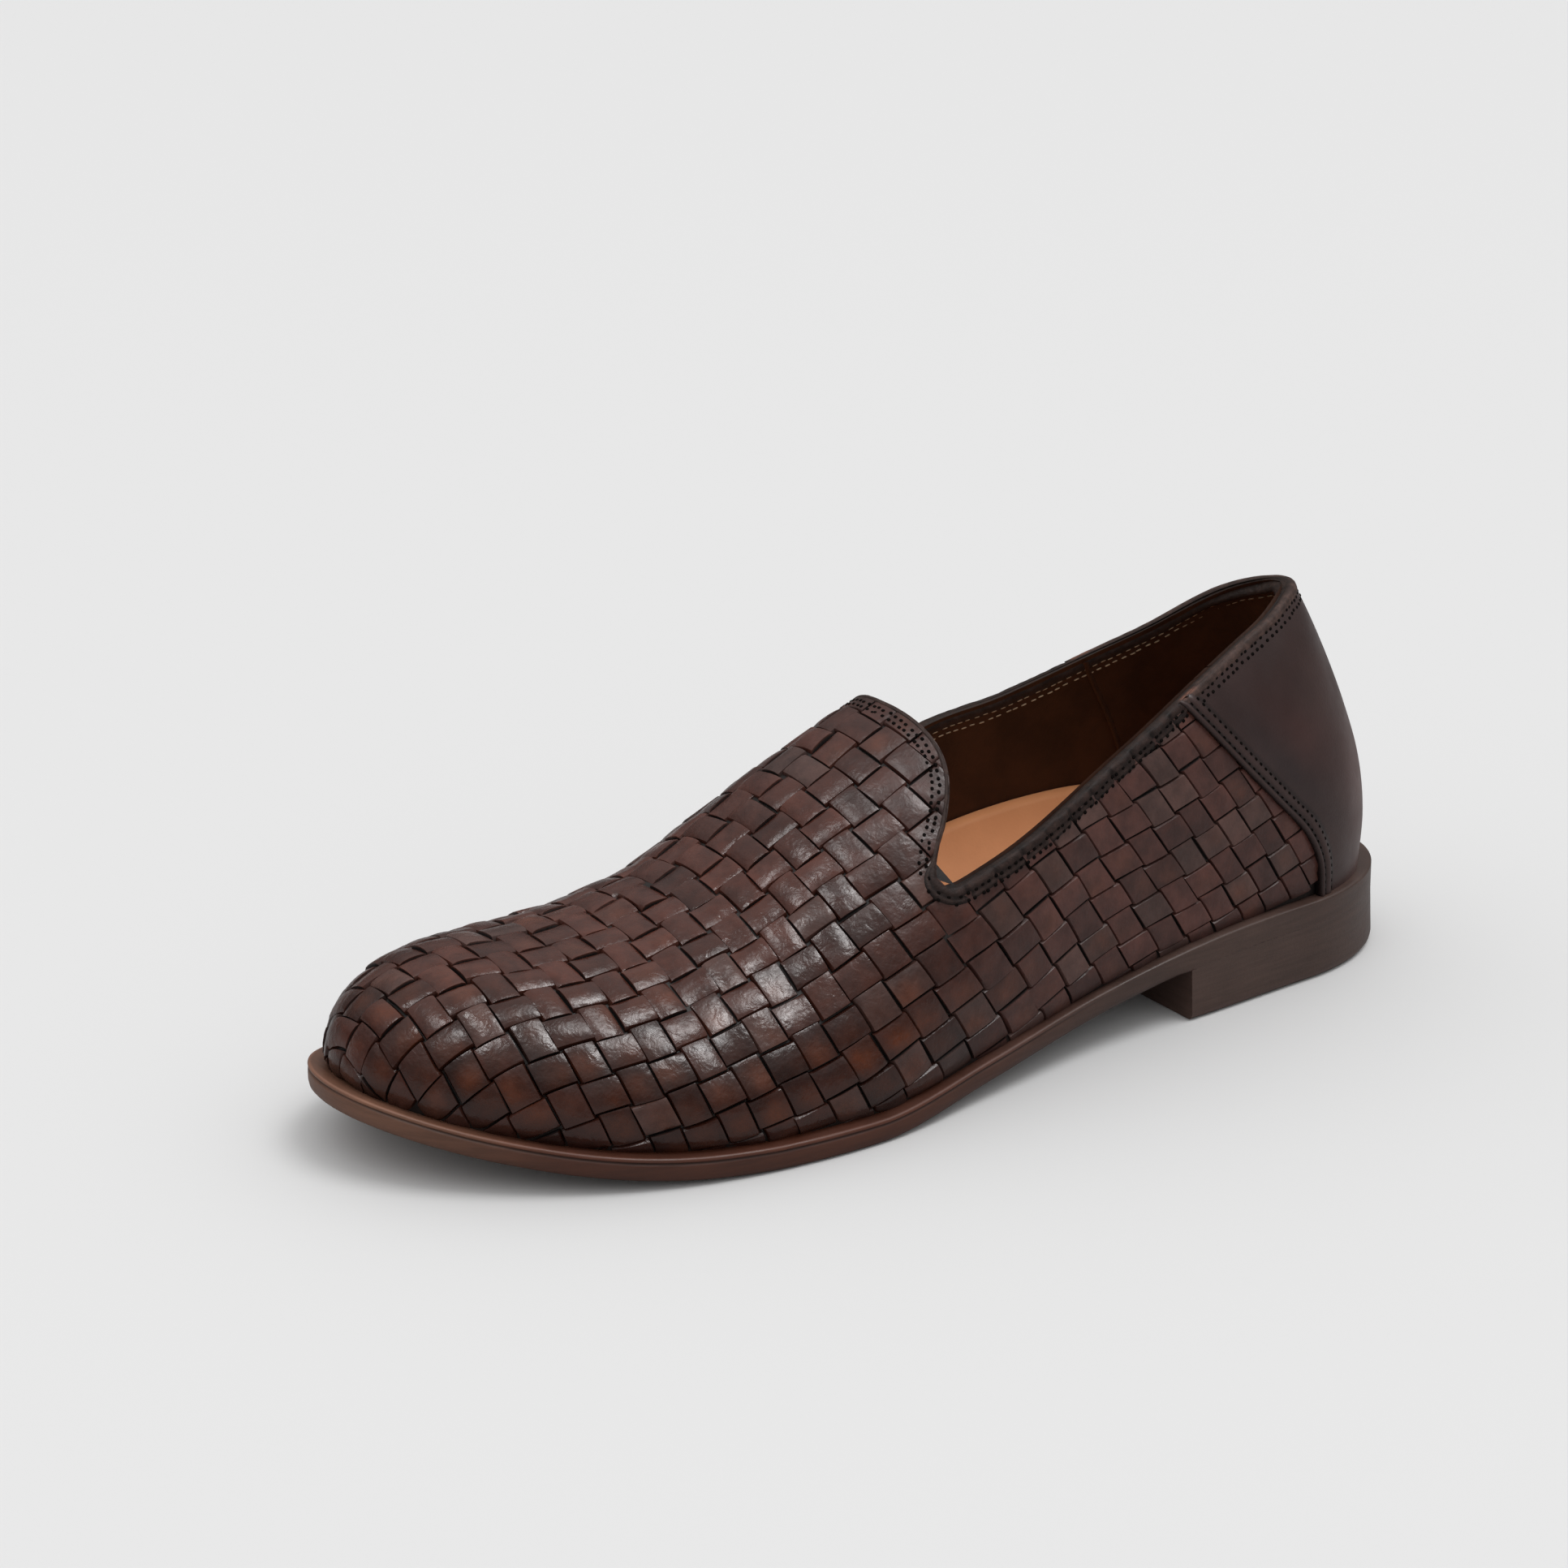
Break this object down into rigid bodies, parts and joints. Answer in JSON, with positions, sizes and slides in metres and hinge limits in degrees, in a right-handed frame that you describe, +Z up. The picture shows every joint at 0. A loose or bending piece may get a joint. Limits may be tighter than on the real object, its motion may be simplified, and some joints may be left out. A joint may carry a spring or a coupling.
{
  "type": "woven leather slip-on shoe",
  "caption": "Low leather slip-on shoe with a basket-woven upper, rounded tongue tab, smooth heel counter, thin leather outsole and low heel block.",
  "frame": {"origin": "on the floor, under the middle of the shoe's bounding box", "axes": "+Z up, toe towards -Y, back of the heel towards +Y, outer side of the left foot towards +X"},
  "size_m": [0.109, 0.3004, 0.0965],
  "materials": {
    "sole_leather": "waxed red-brown edge",
    "heel_leather": "waxed grey-brown block",
    "woven_leather": "dark brown woven strips, half gloss",
    "smooth_leather": "smooth dark grey-brown",
    "insole_leather": "matt tan"
  },
  "bodies": {
    "root": {"outsole": "sole_leather", "heel": "heel_leather", "upper": "woven_leather", "counter": "smooth_leather", "insole": "insole_leather"}
  },
  "joints": []
}
